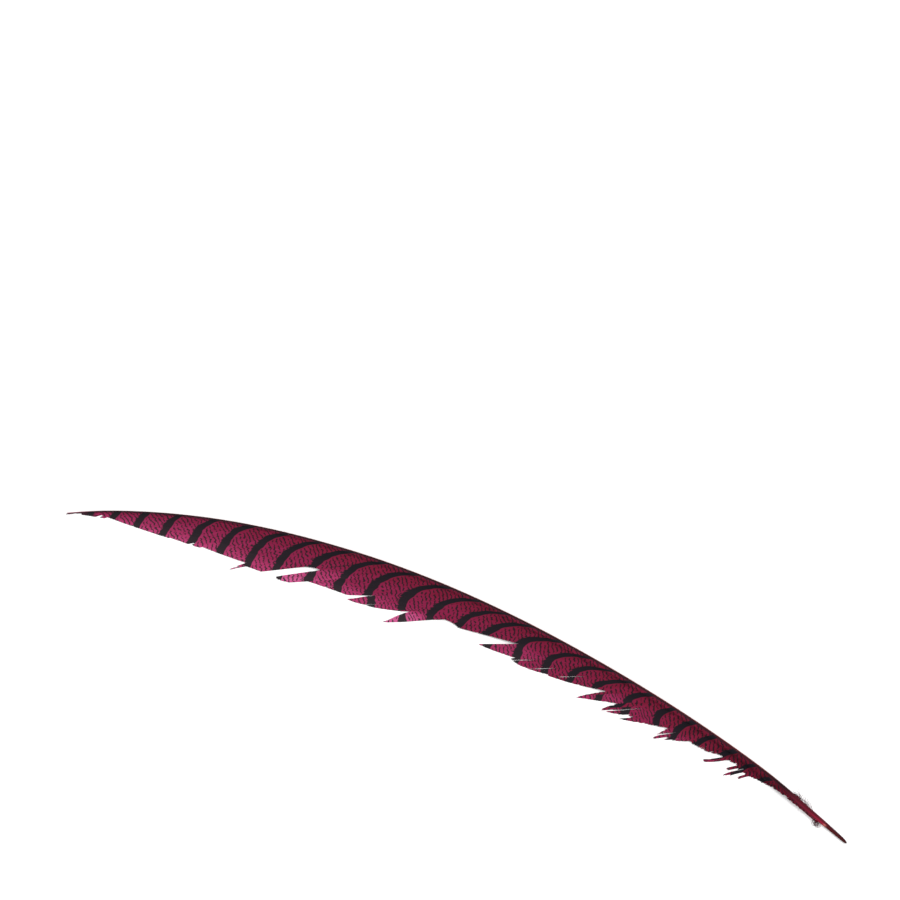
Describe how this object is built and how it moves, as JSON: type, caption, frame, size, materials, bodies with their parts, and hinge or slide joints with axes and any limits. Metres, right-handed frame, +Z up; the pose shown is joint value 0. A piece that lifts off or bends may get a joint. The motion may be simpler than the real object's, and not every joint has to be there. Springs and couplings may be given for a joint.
{
  "type": "pheasant tail feather",
  "caption": "Long sickle-shaped dyed pheasant tail feather lying on its side: a bowed shaft, a broad barred web with split and worn edges, a narrow folded web and tufts of down.",
  "frame": {"origin": "on the table, under the middle of the feather's bounding box", "axes": "+X from the quill's end to the feather's tip, +Z up from the table, +Y from the shaft towards the margin of the broad near web"},
  "size_m": [0.5603, 0.0551, 0.0099],
  "materials": {
    "horn_shaft": "smooth dyed horn, dark wine red with a tan outer edge and a soft gloss",
    "dyed_web": "feather web dyed crimson, with black-brown bars and fine wavy lines and a faint silky sheen",
    "dyed_down": "loose downy barbs dyed dark wine red, dull"
  },
  "bodies": {
    "root": {"shaft": "horn_shaft", "near_vane": "dyed_web", "far_vane": "dyed_web", "near_down": "dyed_down", "far_down": "dyed_down"}
  },
  "joints": []
}
